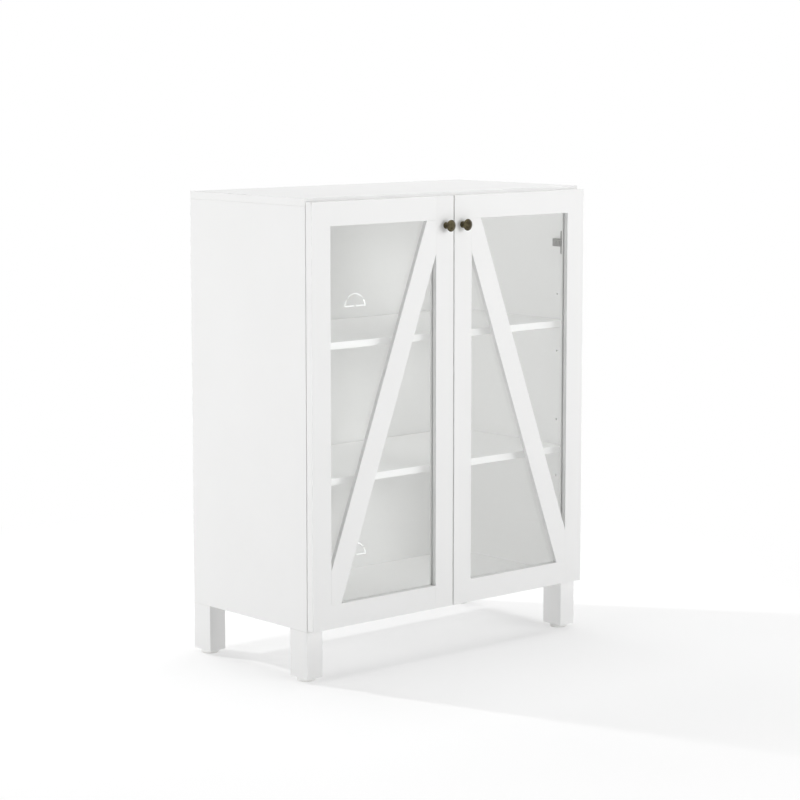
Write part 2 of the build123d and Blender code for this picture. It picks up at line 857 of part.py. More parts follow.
def write_doors():
    """Write the pieces of both doors and their hinges."""
    pieces = {**door_pieces(), **hinge_pieces()}
    for name, shapes in pieces.items():
        group = shapes if isinstance(shapes, list) else [shapes]
        write(f"left_{name}", group)
        write(f"right_{name}", [mirrored(shape) for shape in group])


os.makedirs("parts", exist_ok=True)
write_case()
write_doors()
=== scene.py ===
"""Dressed model of the two-door glass-front cabinet, built round its solids, in metres."""

import json
import logging
import math
from abc import ABC, abstractmethod
from dataclasses import dataclass, field
from enum import Enum
from typing import Any

import bmesh
import bpy
from mathutils import Euler, Matrix, Vector

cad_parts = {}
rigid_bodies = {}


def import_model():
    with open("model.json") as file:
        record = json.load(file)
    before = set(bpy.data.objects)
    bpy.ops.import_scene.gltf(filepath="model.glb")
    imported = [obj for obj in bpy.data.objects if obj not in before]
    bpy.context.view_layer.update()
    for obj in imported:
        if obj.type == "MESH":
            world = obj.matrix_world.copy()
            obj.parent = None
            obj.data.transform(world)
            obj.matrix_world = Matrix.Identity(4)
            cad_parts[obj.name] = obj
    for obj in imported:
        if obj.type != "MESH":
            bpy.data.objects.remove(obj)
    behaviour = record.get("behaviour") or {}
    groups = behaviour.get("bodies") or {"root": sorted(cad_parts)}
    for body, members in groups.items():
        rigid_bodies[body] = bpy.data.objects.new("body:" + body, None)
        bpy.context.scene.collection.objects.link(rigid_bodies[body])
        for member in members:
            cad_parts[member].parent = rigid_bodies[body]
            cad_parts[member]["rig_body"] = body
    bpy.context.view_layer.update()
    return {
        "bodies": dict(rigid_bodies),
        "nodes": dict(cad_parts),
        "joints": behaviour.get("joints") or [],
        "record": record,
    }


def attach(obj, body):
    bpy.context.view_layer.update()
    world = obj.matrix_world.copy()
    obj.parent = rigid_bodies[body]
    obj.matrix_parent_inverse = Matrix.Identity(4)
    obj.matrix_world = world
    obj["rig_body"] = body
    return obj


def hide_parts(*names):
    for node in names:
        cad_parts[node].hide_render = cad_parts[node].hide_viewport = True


LOG = logging.getLogger("cabinet")

Colour = tuple[float, float, float]
Point = tuple[float, float, float]
Band = tuple[float, float]
Profile = list[tuple[float, float]]

WHITE = (1.0, 1.0, 1.0, 1.0)
FORWARD = (0.0, -1.0, 0.0)
BACKWARD = (0.0, 1.0, 0.0)


class Slot(Enum):
    """Finishes of the cabinet, under the names of the record's material slots."""

    PAINT = "white_paint"
    BACK = "back_board"
    GLASS = "glass"
    BRASS = "antique_brass"
    STEEL = "plated_steel"
    GLIDE = "glide_plastic"
    RUBBER = "clear_rubber"
    WOOD = "dowel_wood"


class Hand(Enum):
    """Side of the cabinet that a door hangs on, with the sign of its X direction."""

    LEFT = ("left", -1.0)
    RIGHT = ("right", 1.0)

    @property
    def word(self) -> str:
        """First word of the names of the pieces on this side."""
        return self.value[0]

    @property
    def sign(self) -> float:
        """Direction of this side along X."""
        return self.value[1]

    def named(self, *words: str) -> list[str]:
        """Full names of pieces on this side."""
        return [f"{self.word}_{word}" for word in words]


class Value:
    """A number socket that Python arithmetic works on, with one Math node to an operation."""

    def __init__(self, graph: "Graph", socket: bpy.types.NodeSocket) -> None:
        """Hold a socket and the graph that new nodes go into."""
        self.graph = graph
        self.socket = socket

    def _math(self, operation: str, first: "Value | float", second: "Value | float") -> "Value":
        """Add a Math node.

        Args:
            operation: Name of the Math node's operation.
            first: Left-hand operand.
            second: Right-hand operand.

        Returns:
            The node's result.
        """
        return self.graph.add("ShaderNodeMath", {"operation": operation}, {0: first, 1: second})

    def __add__(self, other: "Value | float") -> "Value":
        """Sum of two numbers."""
        return self._math("ADD", self, other)

    __radd__ = __add__

    def __sub__(self, other: "Value | float") -> "Value":
        """Difference of two numbers."""
        return self._math("SUBTRACT", self, other)

    def __rsub__(self, other: float) -> "Value":
        """A plain number less this one."""
        return self._math("SUBTRACT", other, self)

    def __mul__(self, other: "Value | float") -> "Value":
        """Product of two numbers."""
        return self._math("MULTIPLY", self, other)

    __rmul__ = __mul__

    def toward(self, other: "Value", share: float) -> "Value":
        """This number moved towards another by a share of the way."""
        return self * (1.0 - share) + other * share

    def over(self, low: float, high: float) -> "Value":
        """Smooth step of this number.

        Args:
            low: Number at which the step starts from 0.
            high: Number at which it reaches 1.

        Returns:
            A number from 0 to 1.
        """
        sockets = {"Value": self, "From Min": low, "From Max": high}
        return self.graph.add("ShaderNodeMapRange", {"interpolation_type": "SMOOTHSTEP"}, sockets)


class Graph:
    """Node tree of one material or of the world."""

    colour_inputs = (6, 7)
    colour_result = 2

    def __init__(self, owner: bpy.types.Material | bpy.types.World) -> None:
        """Start an empty node tree.

        Args:
            owner: The material or world that the tree belongs to.
        """
        owner.use_nodes = True
        self.tree = owner.node_tree
        self.tree.nodes.clear()

    def add(
        self,
        kind: str,
        settings: dict[str, Any] | None = None,
        sockets: dict[str | int, Any] | None = None,
        output: str | int = 0,
    ) -> Value:
        """Add a node, set it up and link it.

        Args:
            kind: Blender's type name of the node.
            settings: The node's own settings, which are set first.
            sockets: Links or plain values for the node's inputs, by name or index.
            output: Name or index of the output that is wanted.

        Returns:
            The wanted output, or an input of a node that has no outputs.
        """
        node = self.tree.nodes.new(kind)
        for name, setting in (settings or {}).items():
            setattr(node, name, setting)
        for name, given in (sockets or {}).items():
            if isinstance(given, Value):
                self.tree.links.new(given.socket, node.inputs[name])
            else:
                node.inputs[name].default_value = given
        ends = node.outputs if len(node.outputs) else node.inputs
        return Value(self, ends[output])

    def place(self) -> Value:
        """Position on the piece at rest."""
        return self.add("ShaderNodeTexCoord", output="Object")

    def stretched(self, where: Value, factors: Point) -> Value:
        """Position scaled by a factor on each axis."""
        return self.add("ShaderNodeVectorMath", {"operation": "MULTIPLY"}, {0: where, 1: factors})

    def noise(self, where: Value, scale: float, detail: float = 2.0, roughness: float = 0.5) -> Value:
        """Noise over a position.

        Args:
            where: Position to read the noise at.
            scale: Number of features to a metre.
            detail: Number of finer layers.
            roughness: Strength of the finer layers.

        Returns:
            A number about 0.5.
        """
        sockets = {"Vector": where, "Scale": scale, "Detail": detail, "Roughness": roughness}
        return self.add("ShaderNodeTexNoise", None, sockets, "Fac")

    def mix(self, factor: Value, first: Value | Colour, second: Value | Colour) -> Value:
        """Blend of two colours.

        Args:
            factor: Share of the second colour.
            first: Colour at 0.
            second: Colour at 1.

        Returns:
            The blended colour.
        """
        pair = [given if isinstance(given, Value) else (*given, 1.0) for given in (first, second)]
        sockets = {"Factor": factor, **dict(zip(self.colour_inputs, pair))}
        return self.add("ShaderNodeMix", {"data_type": "RGBA"}, sockets, self.colour_result)

    def bump(self, height: Value, distance: float, strength: float = 1.0) -> Value:
        """Surface normal that follows a height.

        Args:
            height: Height from 0 to 1.
            distance: Length that a height of 1 stands for.
            strength: Share of the effect.

        Returns:
            The normal.
        """
        sockets = {"Height": height, "Distance": distance, "Strength": strength}
        return self.add("ShaderNodeBump", None, sockets, "Normal")

    def shader(self, **sockets: Any) -> Value:
        """Principled shader.

        Args:
            sockets: Links or values by socket name, with _ for a space.

        Returns:
            The shader.
        """
        named = {name.replace("_", " "): given for name, given in sockets.items()}
        return self.add("ShaderNodeBsdfPrincipled", None, named, "BSDF")

    def seen(self) -> Value:
        """Mark of the rays that show the room.

        Returns:
            1 for rays from the camera and from mirrors and glass, and 0 for others.
        """
        kinds = ("Is Camera Ray", "Is Glossy Ray", "Is Transmission Ray")
        camera, glossy, through = [self.add("ShaderNodeLightPath", output=kind) for kind in kinds]
        return (camera + glossy + through).over(0.0, 1.0)

    def blend(self, factor: Value | float, first: Value, second: Value) -> Value:
        """Mix of two shaders."""
        return self.add("ShaderNodeMixShader", None, {0: factor, 1: first, 2: second})

    def show(self, shader: Value, kind: str = "ShaderNodeOutputMaterial") -> None:
        """Make a shader the result of the tree."""
        self.add(kind, None, {"Surface": shader})


class Finish(ABC):
    """A finish that can make its own material."""

    slot: Slot

    def make(self) -> bpy.types.Material:
        """Make the material of this finish.

        Returns:
            The material, under the slot's name.
        """
        material = bpy.data.materials.new(self.slot.value)
        graph = Graph(material)
        graph.show(self.surface(graph))
        return material

    @abstractmethod
    def surface(self, graph: Graph) -> Value:
        """Shader of this finish in a graph."""


@dataclass(frozen=True)
class SprayedPaint(Finish):
    """Satin white lacquer with a faint orange peel, clouding and a few dust nibs."""

    slot: Slot = Slot.PAINT
    light: Colour = (0.884, 0.884, 0.880)
    deep: Colour = (0.874, 0.874, 0.869)
    roughness: float = 0.36
    roughness_swing: float = 0.14
    cloud_scale: float = 7.0
    cloud_detail: float = 4.0
    cloud_band: Band = (0.3, 0.7)
    peel_scale: float = 520.0
    peel_detail: float = 1.0
    peel_share: float = 0.3
    nib_scale: float = 42.0
    nib_size: float = 0.035
    nib_height: float = 0.6
    relief: float = 0.00004

    def surface(self, graph: Graph) -> Value:
        """Lay out the paint.

        Args:
            graph: Node tree that the shader goes into.

        Returns:
            The shader.
        """
        where = graph.place()
        cloud = graph.noise(where, self.cloud_scale, self.cloud_detail)
        peel = graph.noise(where, self.peel_scale, self.peel_detail)
        spread = {"Vector": where, "Scale": self.nib_scale}
        cells = graph.add("ShaderNodeTexVoronoi", None, spread, "Distance")
        nibs = 1.0 - cells.over(0.0, self.nib_size)
        return graph.shader(
            Base_Color=graph.mix(cloud.over(*self.cloud_band), self.deep, self.light),
            Roughness=self.roughness + self.roughness_swing * cloud.toward(peel, self.peel_share),
            Normal=graph.bump(peel + self.nib_height * nibs, self.relief),
        )


@dataclass(frozen=True)
class FoiledBoard(Finish):
    """White foil on thin board, with a fine pressed grain that runs upwards."""

    slot: Slot = Slot.BACK
    light: Colour = (0.880, 0.880, 0.875)
    deep: Colour = (0.862, 0.862, 0.856)
    roughness: float = 0.46
    roughness_swing: float = 0.12
    grain_scale: float = 300.0
    grain_stretch: float = 0.04
    grain_share: float = 0.4
    cloud_scale: float = 4.0
    detail: float = 3.0
    shade_band: Band = (0.3, 0.7)
    relief: float = 0.00005

    def surface(self, graph: Graph) -> Value:
        """Lay out the foil.

        Args:
            graph: Node tree that the shader goes into.

        Returns:
            The shader.
        """
        where = graph.place()
        cloud = graph.noise(where, self.cloud_scale, self.detail)
        upright = graph.stretched(where, (1.0, 1.0, self.grain_stretch))
        grain = graph.noise(upright, self.grain_scale, self.detail)
        shade = cloud.toward(grain, self.grain_share)
        return graph.shader(
            Base_Color=graph.mix(shade.over(*self.shade_band), self.deep, self.light),
            Roughness=self.roughness + self.roughness_swing * grain,
            Normal=graph.bump(grain, self.relief),
        )


@dataclass(frozen=True)
class ClearPane(Finish):
    """Clear float glass with its faint green cast and a trace of dust in its gloss."""

    slot: Slot = Slot.GLASS
    tint: Colour = (0.990, 0.993, 0.991)
    gloss: Colour = (1.0, 1.0, 1.0)
    both_faces: float = 1.9
    roughness: float = 0.01
    haze: float = 0.03
    haze_scale: float = 9.0
    haze_detail: float = 5.0
    haze_band: Band = (0.45, 0.75)
    index: float = 1.5

    def surface(self, graph: Graph) -> Value:
        """Lay out the glass.

        Args:
            graph: Node tree that the shader goes into.

        Returns:
            The shader.
        """
        film = graph.noise(graph.place(), self.haze_scale, self.haze_detail)
        clear = graph.add("ShaderNodeBsdfTransparent", None, {"Color": (*self.tint, 1.0)})
        dull = self.roughness + self.haze * film.over(*self.haze_band)
        mirror = graph.add("ShaderNodeBsdfGlossy", None, {"Color": (*self.gloss, 1.0), "Roughness": dull})
        fresnel = graph.add("ShaderNodeFresnel", None, {"IOR": self.index})
        inside = graph.add("ShaderNodeNewGeometry", output="Backfacing")
        return graph.blend(self.both_faces * fresnel * (1.0 - inside), clear, mirror)


@dataclass(frozen=True)
class AgedBrass(Finish):
    """Brass darkened to a brown bronze, rubbed olive-gold where hands reach it."""

    slot: Slot = Slot.BRASS
    dark: Colour = (0.043, 0.034, 0.023)
    rubbed: Colour = (0.132, 0.114, 0.066)
    roughness: float = 0.26
    roughness_swing: float = 0.26
    patch_scale: float = 110.0
    patch_detail: float = 5.0
    patch_layers: float = 0.6
    speck_scale: float = 900.0
    speck_share: float = 0.25
    wear_band: Band = (0.34, 0.66)
    relief: float = 0.00006
    relief_share: float = 0.4

    def surface(self, graph: Graph) -> Value:
        """Lay out the brass.

        Args:
            graph: Node tree that the shader goes into.

        Returns:
            The shader.
        """
        where = graph.place()
        patch = graph.noise(where, self.patch_scale, self.patch_detail, self.patch_layers)
        speck = graph.noise(where, self.speck_scale)
        wear = patch.toward(speck, self.speck_share).over(*self.wear_band)
        return graph.shader(
            Base_Color=graph.mix(wear, self.dark, self.rubbed),
            Metallic=1.0,
            Roughness=self.roughness + self.roughness_swing * (1.0 - wear),
            Normal=graph.bump(speck, self.relief, self.relief_share),
        )


@dataclass(frozen=True)
class NickelPlate(Finish):
    """Nickel plate on stamped steel, with fine drawn lines."""

    slot: Slot = Slot.STEEL
    light: Colour = (0.46, 0.455, 0.44)
    deep: Colour = (0.31, 0.305, 0.30)
    roughness: float = 0.24
    roughness_swing: float = 0.22
    line_scale: float = 1400.0
    line_stretch: float = 0.06
    cloud_scale: float = 60.0
    cloud_detail: float = 3.0
    cloud_share: float = 0.5
    dull_share: float = 0.4
    shade_band: Band = (0.3, 0.7)
    relief: float = 0.00001

    def surface(self, graph: Graph) -> Value:
        """Lay out the plate.

        Args:
            graph: Node tree that the shader goes into.

        Returns:
            The shader.
        """
        where = graph.place()
        lines = graph.noise(graph.stretched(where, (1.0, self.line_stretch, 1.0)), self.line_scale)
        cloud = graph.noise(where, self.cloud_scale, self.cloud_detail)
        shade = lines.toward(cloud, self.cloud_share)
        return graph.shader(
            Base_Color=graph.mix(shade.over(*self.shade_band), self.deep, self.light),
            Metallic=1.0,
            Roughness=self.roughness + self.roughness_swing * lines.toward(cloud, self.dull_share),
            Normal=graph.bump(lines, self.relief),
        )


@dataclass(frozen=True)
class MouldedPlastic(Finish):
    """Pale moulded plastic with a fine spark-eroded grain and a painted contact shade: darker and rougher
    in patches over the few millimetres next to the floor.
    """

    slot: Slot = Slot.GLIDE
    clean: Colour = (0.86, 0.86, 0.85)
    # Grey of the painted contact shade where the glide meets the floor.
    scuffed: Colour = (0.68, 0.67, 0.64)
    roughness: float = 0.42
    roughness_swing: float = 0.18
    grain_scale: float = 1500.0
    grain_detail: float = 1.0
    grain_dulling: float = 0.5
    scuff_scale: float = 160.0
    scuff_detail: float = 4.0
    scuff_band: Band = (0.1, 0.6)
    scuff_height: float = 0.005
    relief: float = 0.00004

    def surface(self, graph: Graph) -> Value:
        """Lay out the plastic.

        Args:
            graph: Node tree that the shader goes into.

        Returns:
            The shader.
        """
        where = graph.place()
        grain = graph.noise(where, self.grain_scale, self.grain_detail)
        height = graph.add("ShaderNodeSeparateXYZ", None, {"Vector": where}, "Z")
        # Painted contact shade: a mask for the lowest few millimetres over the floor, broken into patches
        # by noise.
        low = 1.0 - height.over(0.0, self.scuff_height)
        contact_shade = graph.noise(where, self.scuff_scale, self.scuff_detail) * low
        return graph.shader(
            # The base colour turns to the grey of the painted contact shade near the floor, and that area
            # is also rougher.
            Base_Color=graph.mix(contact_shade.over(*self.scuff_band), self.clean, self.scuffed),
            Roughness=self.roughness + self.roughness_swing * (grain * self.grain_dulling + contact_shade),
            Normal=graph.bump(grain, self.relief),
        )


@dataclass(frozen=True)
class SoftRubber(Finish):
    """Milky clear rubber of the door bumpers."""

    slot: Slot = Slot.RUBBER
    clear: Colour = (0.80, 0.81, 0.80)
    milky: Colour = (0.68, 0.69, 0.68)
    roughness: float = 0.28
    roughness_swing: float = 0.2
    cloud_scale: float = 400.0
    cloud_detail: float = 3.0
    cloud_band: Band = (0.3, 0.7)
    relief: float = 0.00003

    def surface(self, graph: Graph) -> Value:
        """Lay out the rubber.

        Args:
            graph: Node tree that the shader goes into.

        Returns:
            The shader.
        """
        cloud = graph.noise(graph.place(), self.cloud_scale, self.cloud_detail)
        return graph.shader(
            Base_Color=graph.mix(cloud.over(*self.cloud_band), self.milky, self.clear),
            Roughness=self.roughness + self.roughness_swing * cloud,
            Normal=graph.bump(cloud, self.relief),
        )


@dataclass(frozen=True)
class PlainBeech(Finish):
    """Bare beech of the dowels, with short flecks along the grain."""

    slot: Slot = Slot.WOOD
    light: Colour = (0.60, 0.42, 0.26)
    fleck: Colour = (0.40, 0.25, 0.13)
    roughness: float = 0.55
    roughness_swing: float = 0.2
    fleck_scale: float = 900.0
    fleck_detail: float = 4.0
    fleck_layers: float = 0.6
    fleck_stretch: float = 0.12
    fleck_band: Band = (0.5, 0.72)
    relief: float = 0.00008

    def surface(self, graph: Graph) -> Value:
        """Lay out the wood.

        Args:
            graph: Node tree that the shader goes into.

        Returns:
            The shader.
        """
        where = graph.stretched(graph.place(), (self.fleck_stretch, 1.0, self.fleck_stretch))
        fleck = graph.noise(where, self.fleck_scale, self.fleck_detail, self.fleck_layers)
        return graph.shader(
            Base_Color=graph.mix(fleck.over(*self.fleck_band), self.light, self.fleck),
            Roughness=self.roughness + self.roughness_swing * fleck,
            Normal=graph.bump(fleck, self.relief),
        )


FINISHES: tuple[Finish, ...] = (
    SprayedPaint(),
    FoiledBoard(),
    ClearPane(),
    AgedBrass(),
    NickelPlate(),
    MouldedPlastic(),
    SoftRubber(),
    PlainBeech(),
)


@dataclass(frozen=True)
class Rounding:
    """Width of an edge's rounding and which edges it goes on."""

    width: float
    shortest: float
    sharp: float = math.radians(40.0)
    cuts: tuple[float, ...] = ()

    def takes(self, edge: bmesh.types.BMEdge) -> bool:
        """Tell whether an edge is rounded.

        Args:
            edge: Edge of the piece.

        Returns:
            True for a sharp outer edge that is long enough.
        """
        if not edge.is_manifold or not edge.is_convex or edge.calc_length() < self.shortest:
            return False
        return edge.calc_face_angle() > self.sharp


@dataclass(frozen=True)
class FrameRounding(Rounding):
    """Rounding of a door's frame, with no groove where its members are glued flush."""

    window_x: tuple[float, float] = (0.0, 0.0)
    near: float = 1e-5

    def takes(self, edge: bmesh.types.BMEdge) -> bool:
        """True for an outer edge that doesn't lie in a joint of the frame."""
        return super().takes(edge) and not self.in_joint(edge)

    def in_joint(self, edge: bmesh.types.BMEdge) -> bool:
        """Tell whether an edge lies in the flush joint of a rail and a stile.

        Args:
            edge: Edge of a frame member.

        Returns:
            Whether both its ends are on a stile's inner side, above or below the window.
        """
        low, high = self.cuts
        for x in self.window_x:
            beside = all(abs(abs(corner.co.x) - x) < self.near for corner in edge.verts)
            below = all(corner.co.z < low + self.near for corner in edge.verts)
            above = all(corner.co.z > high - self.near for corner in edge.verts)
            if beside and (below or above):
                return True
        return False


@dataclass(frozen=True)
class BraceRounding(Rounding):
    """Rounding of a brace along its length only, as its ends are glued flush."""

    along: float = 0.5

    def takes(self, edge: bmesh.types.BMEdge) -> bool:
        """True for a long edge of the brace."""
        return super().takes(edge) and edge.calc_length() > self.along


class Bench:
    """Turns nodes of the frame into dressed pieces."""

    weld = 1e-6
    flat = math.radians(0.5)
    crease = math.radians(45.0)
    area_weight = 100
    round_steps = 3
    round_profile = 0.5

    def __init__(self, frame: dict[str, Any]) -> None:
        """Take the frame's nodes and make one material for each finish."""
        self.nodes: dict[str, bpy.types.Object] = frame["nodes"]
        self.materials = {finish.slot: finish.make() for finish in FINISHES}

    def dress(self, slot: Slot, *names: str) -> None:
        """Give nodes of the frame their finish.

        Args:
            slot: The finish.
            names: The nodes that keep their own solid.
        """
        for name in names:
            mesh = self.nodes[name].data
            mesh.materials.clear()
            mesh.materials.append(self.materials[slot])
            LOG.info("%s keeps its solid, in %s", name, slot.value)

    def stand_in(self, node: str, mesh: bpy.types.Mesh, slot: Slot) -> None:
        """Put a mesh in a node's place.

        Args:
            node: The node that the mesh stands for.
            mesh: The finished mesh, in the frame's coordinates.
            slot: Its finish.
        """
        piece = bpy.data.objects.new(f"{node}_dressed", mesh)
        bpy.context.scene.collection.objects.link(piece)
        mesh.materials.append(self.materials[slot])
        mesh.shade_smooth()
        mesh.set_sharp_from_angle(angle=self.crease)
        evened = piece.modifiers.new("even_faces", "WEIGHTED_NORMAL")
        evened.weight = self.area_weight
        evened.keep_sharp = True
        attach(piece, self.nodes[node]["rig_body"])
        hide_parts(node)
        LOG.info("%s is built anew with %d faces, in %s", node, len(mesh.polygons), slot.value)

    def soften(self, slot: Slot, rounding: Rounding, *names: str) -> None:
        """Replace nodes by copies whose sharp edges are rounded.

        Args:
            slot: The finish.
            rounding: Width of the rounding and the edges that get it.
            names: The nodes to replace.
        """
        for name in names:
            shape = bmesh.new()
            shape.from_mesh(self.nodes[name].data)
            bmesh.ops.remove_doubles(shape, verts=shape.verts, dist=self.weld)
            bmesh.ops.dissolve_limit(shape, angle_limit=self.flat, verts=shape.verts, edges=shape.edges)
            for height in rounding.cuts:
                parts = [*shape.verts, *shape.edges, *shape.faces]
                plane = {"plane_co": (0.0, 0.0, height), "plane_no": (0.0, 0.0, 1.0)}
                bmesh.ops.bisect_plane(shape, geom=parts, dist=self.weld, **plane)
            bmesh.ops.bevel(
                shape,
                geom=[edge for edge in shape.edges if rounding.takes(edge)],
                offset=rounding.width,
                offset_type="OFFSET",
                segments=self.round_steps,
                profile=self.round_profile,
                affect="EDGES",
                clamp_overlap=False,
            )
            mesh = bpy.data.meshes.new(f"{name}_dressed")
            shape.to_mesh(mesh)
            shape.free()
            self.stand_in(name, mesh, slot)


class Lathe:
    """Makes turned meshes."""

    @staticmethod
    def arc(centre: tuple[float, float], radius: float, start: float, end: float, steps: int) -> Profile:
        """Points along an arc of a profile.

        Args:
            centre: Middle of the arc, as distance from the axis and height.
            radius: Radius of the arc.
            start: Angle of the first point in degrees, from the outward direction towards the top.
            end: Angle of the last point.
            steps: Number of points after the first.

        Returns:
            The points in order.
        """
        angles = [math.radians(start + (end - start) * step / steps) for step in range(steps + 1)]
        return [(centre[0] + radius * math.cos(a), centre[1] + radius * math.sin(a)) for a in angles]

    @staticmethod
    def turn(profile: Profile, sides: int) -> bmesh.types.BMesh:
        """Turned solid about the Z axis.

        Args:
            profile: Distance from the axis and height of each point, from the bottom up.
            sides: Number of flats round the axis.

        Returns:
            The closed shape.
        """
        shape = bmesh.new()
        rings = []
        turns = [math.tau * side / sides for side in range(sides)]
        for radius, height in profile:
            circle = [(radius * math.cos(a), radius * math.sin(a), height) for a in turns]
            rings.append([shape.verts.new(point) for point in circle])
        for low, high in zip(rings, rings[1:]):
            for side in range(sides):
                after = (side + 1) % sides
                shape.faces.new((low[side], low[after], high[after], high[side]))
        shape.faces.new(list(reversed(rings[0])))
        shape.faces.new(rings[-1])
        return shape


@dataclass
class Case:
    """Panels of the case with their hidden fittings."""

    panels: tuple[str, ...] = ("top_panel", "left_side_panel", "right_side_panel")
    floor: str = "bottom_panel"
    back: str = "back_panel"
    floor_edge: Rounding = Rounding(width=0.0006, shortest=0.1)

    def build(self, bench: Bench) -> None:
        """Round the floor's bare edges."""
        bench.soften(Slot.PAINT, self.floor_edge, self.floor)

    def dress(self, bench: Bench) -> None:
        """Paint the panels and finish the fittings between them.

        Args:
            bench: Bench with the frame's nodes and the materials.
        """
        bench.dress(Slot.PAINT, *self.panels)
        bench.dress(Slot.BACK, self.back)
        bench.dress(Slot.STEEL, "cam_bolts", "cam_discs")
        bench.dress(Slot.WOOD, "dowels")


@dataclass
class Legs:
    """Four legs, what holds them and their glides."""

    posts: tuple[str, ...] = ("front_left_leg", "front_right_leg", "rear_left_leg", "rear_right_leg")

    def dress(self, bench: Bench) -> None:
        """Paint the legs and finish the parts in them.

        Args:
            bench: Bench with the frame's nodes and the materials.
        """
        bench.dress(Slot.PAINT, *self.posts)
        bench.dress(Slot.STEEL, "leg_bolts", "leg_inserts")
        bench.dress(Slot.GLIDE, "foot_glides")


@dataclass
class Shelves:
    """Both loose shelves and the pins under them."""

    levels: tuple[str, ...] = ("lower", "upper")
    pin_edge: Rounding = Rounding(width=0.0003, shortest=0.001)

    def build(self, bench: Bench) -> None:
        """Round the edges of the bent pins."""
        names = [f"{level}_shelf_pins" for level in self.levels]
        bench.soften(Slot.STEEL, self.pin_edge, *names)

    def dress(self, bench: Bench) -> None:
        """Paint the shelves."""
        bench.dress(Slot.PAINT, *[f"{level}_shelf" for level in self.levels])


@dataclass
class Knob:
    """Turned mushroom knob, drawn upwards from its base."""

    base_radius: float = 0.007
    base_height: float = 0.0025
    neck_radius: float = 0.005
    neck_height: float = 0.0095
    cap_radius: float = 0.0125
    rim_height: float = 0.0165
    projection: float = 0.023
    base_edge: float = 0.0008
    rim_edge: float = 0.0009
    rim_turn: tuple[float, float] = (-80.0, 60.0)
    rim_share: float = 0.87
    groove_radius: float = 0.0088
    groove_depth: float = 0.00035
    groove_half: float = 0.0006
    base_middle: float = 0.0004
    cap_middle: float = 0.0003
    edge_steps: int = 6
    cove_steps: int = 8
    flare_steps: int = 12
    rim_steps: int = 8
    dome_steps: int = 40
    sides: int = 72

    def profile(self) -> Profile:
        """Draw the whole outline.

        Returns:
            Points from the base's middle to the top of the cap.
        """
        edge = self.base_edge
        centre = (self.base_radius - edge, self.base_height - edge)
        points = [(self.base_middle, 0.0), (self.base_radius, 0.0)]
        points += Lathe.arc(centre, edge, 0.0, 90.0, self.edge_steps)
        points += self.cove()
        points += self.flare()
        points += self.cap()
        return points

    def cove(self) -> Profile:
        """Draw the hollow between the base and the neck.

        Returns:
            Points from the base up to the neck.
        """
        radius = self.base_radius - self.base_edge - self.neck_radius
        centre = (self.neck_radius + radius, self.base_height + radius)
        return Lathe.arc(centre, radius, 270.0, 180.0, self.cove_steps)[1:]

    def flare(self) -> Profile:
        """Draw the quarter hollow that widens to the cap.

        Returns:
            Points from the neck to the cap's rim.
        """
        out = self.cap_radius - self.rim_edge - self.neck_radius
        up = self.rim_height - self.rim_edge - self.neck_height
        points = []
        for step in range(self.flare_steps + 1):
            turn = math.radians(90.0 * step / self.flare_steps)
            radius = self.neck_radius + out * (1.0 - math.cos(turn))
            points.append((radius, self.neck_height + up * math.sin(turn)))
        return points

    def cap(self) -> Profile:
        """Draw the rounded rim and the shallow dome with its fine turned groove.

        Returns:
            Points from under the rim to the top.
        """
        edge = self.rim_edge
        points = Lathe.arc((self.cap_radius - edge, self.rim_height), edge, *self.rim_turn, self.rim_steps)
        span = self.cap_radius - edge / 2
        for step in range(1, self.dome_steps + 1):
            inward = step / self.dome_steps
            radius = span * (1.0 - inward) + self.cap_middle * inward
            points.append((radius, self.dome_height(radius, span)))
        return points

    def dome_height(self, radius: float, span: float) -> float:
        """Height of the cap's face at a distance from its axis.

        Args:
            radius: Distance from the axis.
            span: Distance at which the dome meets the rim.

        Returns:
            The height over the base.
        """
        start = self.rim_height + self.rim_edge * self.rim_share
        dome = start + (self.projection - start) * (1.0 - (radius / span) ** 2)
        away = abs(radius - self.groove_radius) / self.groove_half
        return dome - self.groove_depth * max(0.0, 1.0 - away * away)

    def shape(self, place: Matrix) -> bpy.types.Mesh:
        """Mesh of the knob.

        Args:
            place: Where the base's middle goes, with the knob along Z.

        Returns:
            The mesh.
        """
        turned = Lathe.turn(self.profile(), self.sides)
        turned.transform(place)
        mesh = bpy.data.meshes.new("turned_knob")
        turned.to_mesh(mesh)
        turned.free()
        return mesh


